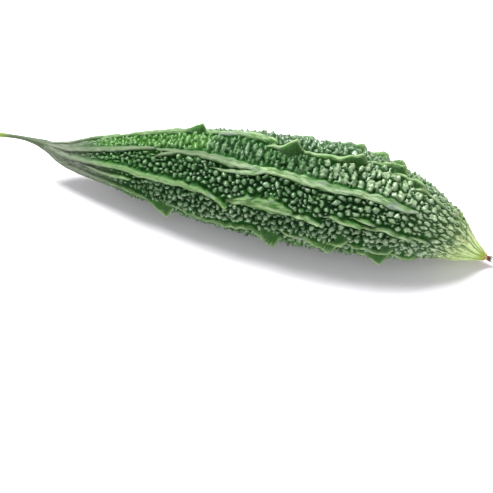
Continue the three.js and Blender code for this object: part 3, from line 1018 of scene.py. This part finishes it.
# %% [markdown]
# ## Measures and grains of the skin
#
# The skin is waxy and firm. Its mesh carries measures for wart, ridge and place along the fruit, so
# colour follows form exactly. Noise adds what a mesh can't: broad patches, fine mottle, and the long
# cords and threads of the strands. Those grains change quickly across a strand and slowly along it.

# %% Measures and grains of the skin
CORD_MM, CORDS_PER_MM = 6, 1.2
THREAD_MM, THREADS_PER_MM = 4, 2.6
PLEAT_MM = 0.8

skin = Finish("gourd_skin", specular_ior_level=0.12, coat_roughness=0.13)
along, wart, ridge = skin.measure("along"), skin.measure("wart"), skin.measure("ridge")
edge, tooth_face, pale = skin.measure("edge"), skin.measure("face"), skin.measure("pale")
on_top, dulled = skin.measure("top"), skin.measure("dull")
mottle = skin.noise(2.0, detail=3.0)
specks = skin.noise(0.9)
streaks = skin.noise(1.1, stretch=(11, 1, 1))
cords = skin.line_noise(along, CORD_MM, skin.measure("across") * CORDS_PER_MM)
threads = skin.line_noise(along, THREAD_MM, skin.measure("across") * THREADS_PER_MM)
towards_tip = skin.step(along, 0.78, 0.93)
is_fresh = skin.step(skin.noise(26, detail=3.0) + skin.measure("fresh") * 0.45, 0.55, 0.8)
bare_side = skin.measure("beside") * skin.step(skin.noise(14), 0.3, 0.5)
print("nodes so far:", len(skin.tree.nodes))

# %% [markdown]
# ## Valleys and warts
#
# The valleys are painted darker than the skin's own green: painted shade where little light falls.
# The warts grow lighter and greyer towards their tops, partly their own paler skin and partly a
# painted highlight. Each wart has its own share of pale specks, partly pale skin, partly painted
# glints. Towards the tip both valleys and warts grow paler. The fresh skin by the crown is a livelier
# green, and the bare side of a ridge is a smooth dark green, deepened by painted shade.

# %% Colour the valleys and warts
# Valley colours: the skin's own dark green, painted darker as shade where little light reaches.
SHADED_VALLEY_GREEN = (0.007, 0.032, 0.008, 1)
SHADED_TOP_VALLEY = (0.006, 0.034, 0.006, 1)
TIP_VALLEY = (0.12, 0.23, 0.07, 1)
FRESH_GREEN = (0.035, 0.125, 0.014, 1)
# Deep green of the ridge flanks, darkened as painted shade in the hollows beside and under the ridges.
DEEP_GREEN_AND_SHADE = (0.010, 0.078, 0.007, 1)
SIDE_GREEN = (0.022, 0.09, 0.016, 1)
WART_GREEN = (0.09, 0.195, 0.072, 1)
WART_SPECK_AND_GLINT = (0.245, 0.36, 0.225, 1)
CROWN_WART = (0.055, 0.15, 0.04, 1)
PALE_WART_AND_SHEEN = (0.425, 0.56, 0.335, 1)
FRESH_WART = (0.20, 0.40, 0.12, 1)
TIP_GREEN = (0.60, 0.76, 0.30, 1)

valley = skin.mix(towards_tip * 0.9, SHADED_VALLEY_GREEN, TIP_VALLEY)
valley = skin.mix(is_fresh, valley, FRESH_GREEN)
valley = skin.mix(on_top * 0.8, valley, SHADED_TOP_VALLEY)
# The bare side of a ridge: its own deep green, darkened as painted shade.
valley = skin.mix(bare_side * 0.9, valley, DEEP_GREEN_AND_SHADE)

# Pale specks on the warts: partly pale skin, partly painted glints of the overhead light.
specks_and_glints = skin.step(specks + (skin.measure("number") - 0.5) * 0.28, 0.42, 0.66)
specks_and_glints = specks_and_glints * (0.55 + skin.step(along, 0.15, 0.5) * 0.45)
wart_top = skin.mix(on_top * 0.7, WART_GREEN, CROWN_WART)
wart_top = skin.mix(specks_and_glints * (1 - on_top * 0.3), wart_top, WART_SPECK_AND_GLINT)
# Paler warts towards the tip: their own paler skin, whitened further as a painted sheen.
wart_top = skin.mix(skin.step(along, 0.6, 0.9) * 0.72, wart_top, PALE_WART_AND_SHEEN)
# Painted light: paler warts where the overhead light falls most.
wart_top = skin.mix(skin.measure("pale_and_lit") * 0.7, wart_top, PALE_WART_AND_SHEEN)
wart_top = skin.mix(skin.step(along, 0.86, 0.97), wart_top, TIP_GREEN)
wart_top = skin.mix(is_fresh * 0.6, wart_top, FRESH_WART)
wart_side = skin.mix(on_top * 0.6, skin.mix(is_fresh, SIDE_GREEN, FRESH_GREEN), SHADED_TOP_VALLEY)

# Colour graded by height: dark valleys are painted shade, and the lighter wart tops are partly their own
# paler skin and partly a painted highlight.
up_side = skin.step(wart + skin.step(along, 0.68, 0.86) * 0.12, 0.2, 0.75)
between_ridges = skin.mix(up_side, valley, wart_side)
up_top = skin.step(wart + (mottle - 0.5) * 0.9, 0.5, 1.15)
between_ridges = skin.mix(up_top, between_ridges, wart_top)
print("nodes so far:", len(skin.tree.nodes))

# %% [markdown]
# ## Ridges and teeth
#
# The ridges are the palest part, grey-green or lime, and duller towards the neck. Dark streaks run
# between their cords, and thin bright and dark threads lie over them. Along each crest line the band
# is painted lighter, a painted highlight, and away from it the band is darker green; the skin of the
# ridges is rubbed grey in spots. The face of a tooth is dark green with fine pleats, darkened further
# as painted shade, and its rim is a painted highlight.

# %% Colour the ridges and teeth
RIDGE_GREEN = (0.29, 0.38, 0.255, 1)
LIME_GREEN = (0.205, 0.345, 0.12, 1)
DULL_GREY = (0.105, 0.145, 0.085, 1)
DULL_LIME = (0.135, 0.235, 0.09, 1)
STREAK_GREEN = (0.08, 0.17, 0.055, 1)
SIDE_STREAK = (0.055, 0.155, 0.03, 1)
THREAD_AND_CREST_HIGHLIGHT = (0.42, 0.56, 0.31, 1)
RUBBED_GREY = (0.235, 0.25, 0.265, 1)
SHADED_FACE_GREEN = (0.042, 0.118, 0.027, 1)
RIM_HIGHLIGHT_GREEN = (0.34, 0.52, 0.20, 1)

lime = (2.1 - pale * 1.4) * skin.step(skin.noise(18, stretch=(2, 1, 1)), 0.35, 0.6)
dull_green = skin.mix(skin.step(pale, 0.8, 1.0), DULL_LIME, DULL_GREY)
band = skin.mix(lime, RIDGE_GREEN, LIME_GREEN)
band = skin.mix(dulled * 0.8, band, dull_green)
cord_tops = skin.step(cords, 0.38, 0.58)
band = skin.mix(cord_tops, STREAK_GREEN, band)
band = skin.mix(skin.step(threads, 0.5, 0.6) * 0.5, band, THREAD_AND_CREST_HIGHLIGHT)
band = skin.mix((1 - skin.step(threads, 0.38, 0.47)) * 0.65, band, STREAK_GREEN)
worn = skin.step(skin.noise(9, stretch=(2, 1, 1), detail=3.0), 0.42, 0.62)
# Away from its crest line the band is darker green.
band = skin.mix((1 - edge) * (1 - worn * pale * pale) * (0.95 - cord_tops * 0.4), band, SIDE_STREAK)
# A painted highlight along the crest line of each cord.
crest = edge * skin.step(skin.noise(5, stretch=(2, 1, 1)), 0.4, 0.6) * (1 - pale * 0.6)
band = skin.mix(crest * 0.85, band, THREAD_AND_CREST_HIGHLIGHT)
band = skin.mix(dulled * (0.3 + pale * 0.3), band, dull_green)
rubbing = skin.noise(4, stretch=(4, 1, 1), detail=4.0) + skin.measure("end") * 0.05
band = skin.mix(skin.step(rubbing, 0.55, 0.7) * 0.5, band, RUBBED_GREY)
pleats = skin.step(skin.line_noise(along, PLEAT_MM), 0.35, 0.65)
# The face of a tooth: its dark green with pleats, darkened as painted shade.
band = skin.mix(tooth_face * (1 - edge) * 0.85, band, skin.mix(pleats, DEEP_GREEN_AND_SHADE, SHADED_FACE_GREEN))
# A painted highlight along the rim of a tooth.
band = skin.mix(tooth_face * edge * edge * 0.7, band, RIM_HIGHLIGHT_GREEN)

# The foot of every ridge, and its bare side most, is painted darker green: the skin's deep green plus
# painted shade where ridge and skin meet.
flank_and_shade = skin.step(ridge, 0.04, 0.3) * (0.45 + bare_side * 0.5)
coloured = skin.mix(flank_and_shade, between_ridges, DEEP_GREEN_AND_SHADE)
coloured = skin.mix(skin.step(ridge + (mottle - 0.5) * 0.4, 0.42, 0.9), coloured, band)
print("nodes so far:", len(skin.tree.nodes))

# %% [markdown]
# ## Neck, tip and shine
#
# The neck is grey-green and fibrous like the stalk, further along on the underside. The tip fades
# to yellow-green, with paler ribs. The skin shines where it is stretched: on the tops of the warts,
# which get a coat of wax, while the ridges and valleys stay matt. A fine bump gives the streaks and
# specks a little depth, and all larger forms are in the mesh.

# %% Colour the neck and the tip, and shine the warts
NECK_GREEN = (0.19, 0.218, 0.165, 1)
NECK_SHADE = (0.095, 0.12, 0.08, 1)
RIB_GREEN = (0.26, 0.42, 0.13, 1)
TIP_YELLOW = (0.33, 0.44, 0.045, 1)
SKIN_BUMP_MM = 0.35

neck_fibres = skin.step(cords * 0.6 + streaks * 0.4, 0.38, 0.56)
past_neck = skin.step(along - skin.measure("under") * 0.06 + (streaks - 0.5) * 0.1, 0.04, 0.17)
coloured = skin.mix((1 - past_neck) * 0.85, coloured, skin.mix(neck_fibres, NECK_SHADE, NECK_GREEN))
ribs = skin.mix(skin.step(skin.measure("rib"), 0.05, 0.55), RIB_GREEN, TIP_GREEN)
coloured = skin.mix(skin.step(along + (streaks - 0.5) * 0.1, 0.90, 0.97), coloured, ribs)
coloured = skin.mix(skin.step(along, 0.972, 0.995), coloured, TIP_YELLOW)
waxed = skin.step(wart, 0.35, 0.8) * (0.3 + skin.step(along, 0.15, 0.45) * 0.65)
relief = (cords * 0.9 + threads * 0.5) * skin.step(ridge, 0.3, 0.8) + mottle + specks * 0.6
gourd_skin = skin.finish(
    base_color=coloured,
    roughness=0.7 - skin.step(wart, 0.2, 0.7) * 0.25,
    coat_weight=waxed * (1 - on_top * 0.7 - is_fresh * 0.2),
    normal=skin.bump(relief, SKIN_BUMP_MM),
)
fruit.data.materials.append(gourd_skin)

# %% [markdown]
# ## The finish of the stalk
#
# The stalk is matt and grey-green, with darker fibres along it, and turns yellow-green at the cut.
# The fibres are noise that is stretched along the gourd. They vary the shine as well.

# %% Finish the stalk
STALK_GREEN = (0.115, 0.145, 0.095, 1)
STALK_DARK = (0.07, 0.11, 0.05, 1)
CUT_YELLOW = (0.20, 0.29, 0.05, 1)
STALK_BUMP_MM = 0.12

stem = Finish("stalk_skin", specular_ior_level=0.25)
stem_fibres = stem.noise(0.5, stretch=(16, 1, 1), detail=3.0)
past_cut = stem.step(stem.measure("along") + (stem_fibres - 0.5) * 0.1, 0.04, 0.26)
stem_colour = stem.mix(stem.step(stem_fibres, 0.35, 0.7), STALK_DARK, STALK_GREEN)
stem_colour = stem.mix(1 - past_cut, stem_colour, CUT_YELLOW)
stem_colour = stem.mix(stem.measure("cut") * 0.5, stem_colour, TIP_GREEN)
stalk.data.materials.append(stem.finish(
    base_color=stem_colour,
    roughness=0.5 + stem_fibres * 0.2,
    normal=stem.bump(stem_fibres, STALK_BUMP_MM),
))

# %% [markdown]
# ## The finish of the dried flower
#
# The collar is the colour of straw, and the petals are dark brown, more so towards their ends. One
# measure on the mesh tells them apart, and the same noise that frays the boundary gives the bump.

# %% Finish the dried flower
DRY_BROWN = (0.10, 0.048, 0.022, 1)
DRY_STRAW = (0.60, 0.44, 0.20, 1)
PETAL_BUMP_MM = 0.15

dry = Finish("dried_petals", roughness=0.8)
shreds = dry.noise(0.5, stretch=(4, 1, 1), detail=4.0)
browned = dry.step(shreds + dry.measure("withered") * 0.35, 0.4, 0.75)
flower.data.materials.append(dry.finish(
    base_color=dry.mix(browned, DRY_STRAW, DRY_BROWN),
    normal=dry.bump(shreds, PETAL_BUMP_MM),
))

# %% [markdown]
# ## Joining the pieces to the solids
#
# Each fine mesh stands for one solid. The solid stays for weight and contact, and is no longer
# shown. Nothing on a gourd moves, so all three ride on one body.

# %% Ride on the solids
for piece, node, finish_slot in (
    (fruit, "fruit", "fruit_skin"),
    (stalk, "stalk", "stalk_skin"),
    (flower, "dried_flower", "dried_petals"),
):
    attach(piece, "root")
    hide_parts(node)
    low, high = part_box(node)
    corners = np.array([point.co for point in piece.data.vertices])
    print(f"{piece.name}: solid {in_mm((low, high))}, piece {in_mm((corners.min(0), corners.max(0)))}")

# %% [markdown] ## The floor  The gourd lies on a plain white floor, which is so large that the
# camera doesn't see its edges.

# %% Floor
FLOOR_SIZE = 6.0

half = FLOOR_SIZE / 2
floor_corners = [(-half, -half, 0), (half, -half, 0), (half, half, 0), (-half, half, 0)]
floor_mesh = bpy.data.meshes.new("floor")
floor_mesh.from_pydata(floor_corners, [], [(0, 1, 2, 3)])
floor_mesh.materials.append(floor_white)
floor = bpy.data.objects.new("floor", floor_mesh)
bpy.context.scene.collection.objects.link(floor)
print(f"floor: {FLOOR_SIZE} m square")

# %% [markdown]
# ## The light
#
# A large soft light hangs over the gourd and a little behind, as in a light tent, so the warts cast
# small soft shadows into the valleys and keep a highlight on top. A weak one fills the front, and
# the white walls of the tent are the world's even light.

# %% Light
def make_area_light(name, place, aim, size, power):
    """A soft rectangular light at a place, in metres, turned towards its aim."""
    lamp = bpy.data.lights.new(name, "AREA")
    lamp.shape = "RECTANGLE"
    lamp.size, lamp.size_y = size
    lamp.energy = power
    light = bpy.data.objects.new(name, lamp)
    light.location = place
    light.rotation_euler = (Vector(aim) - Vector(place)).to_track_quat("-Z", "Y").to_euler()
    bpy.context.scene.collection.objects.link(light)


make_area_light("overhead_softbox", place=(-0.38, 0.34, 1.07), aim=(0, 0, 0), size=(0.6, 0.5), power=26.0)
make_area_light("front_fill", place=(0.4, -1.2, 0.75), aim=(0, 0, 0), size=(0.4, 0.4), power=6.0)

TENT_WHITE, TENT_STRENGTH = (0.98, 0.955, 1, 1), 0.46
world = bpy.data.worlds.new("light_tent")
world.use_nodes = True
tent = world.node_tree.nodes["Background"]
tent.inputs["Color"].default_value = TENT_WHITE
tent.inputs["Strength"].default_value = TENT_STRENGTH
bpy.context.scene.world = world
bpy.context.scene.view_settings.view_transform = "Standard"

# %% [markdown]
# ## The camera
#
# A long lens looks down on the gourd from the front and a little to the right, and leaves free floor
# below it. The camera is placed by the point it aims at, its direction and its distance.

# %% Camera
CAMERA_AZIMUTH = math.radians(16.07)
CAMERA_ELEVATION = math.radians(48.0)
CAMERA_DISTANCE = 0.5929
LENS_MM = 85.0
AIM_STATION, AIM_SIDE = 143.97, -22.3

aim = Vector((ruler_start + AIM_STATION, axis_side + AIM_SIDE, 0)) * MM
back = Vector((
    math.sin(CAMERA_AZIMUTH) * math.cos(CAMERA_ELEVATION),
    -math.cos(CAMERA_AZIMUTH) * math.cos(CAMERA_ELEVATION),
    math.sin(CAMERA_ELEVATION),
))
camera_data = bpy.data.cameras.new("camera")
camera_data.lens = LENS_MM
camera = bpy.data.objects.new("camera", camera_data)
camera.location = aim + back * CAMERA_DISTANCE
camera.rotation_euler = (-back).to_track_quat("-Z", "Y").to_euler()
bpy.context.scene.collection.objects.link(camera)
bpy.context.scene.camera = camera
print("camera at", [round(c, 4) for c in camera.location])

# %% [markdown] ## Boxes The box of the dressed gourd should lie close to that of
# the solids, apart from some low relief.
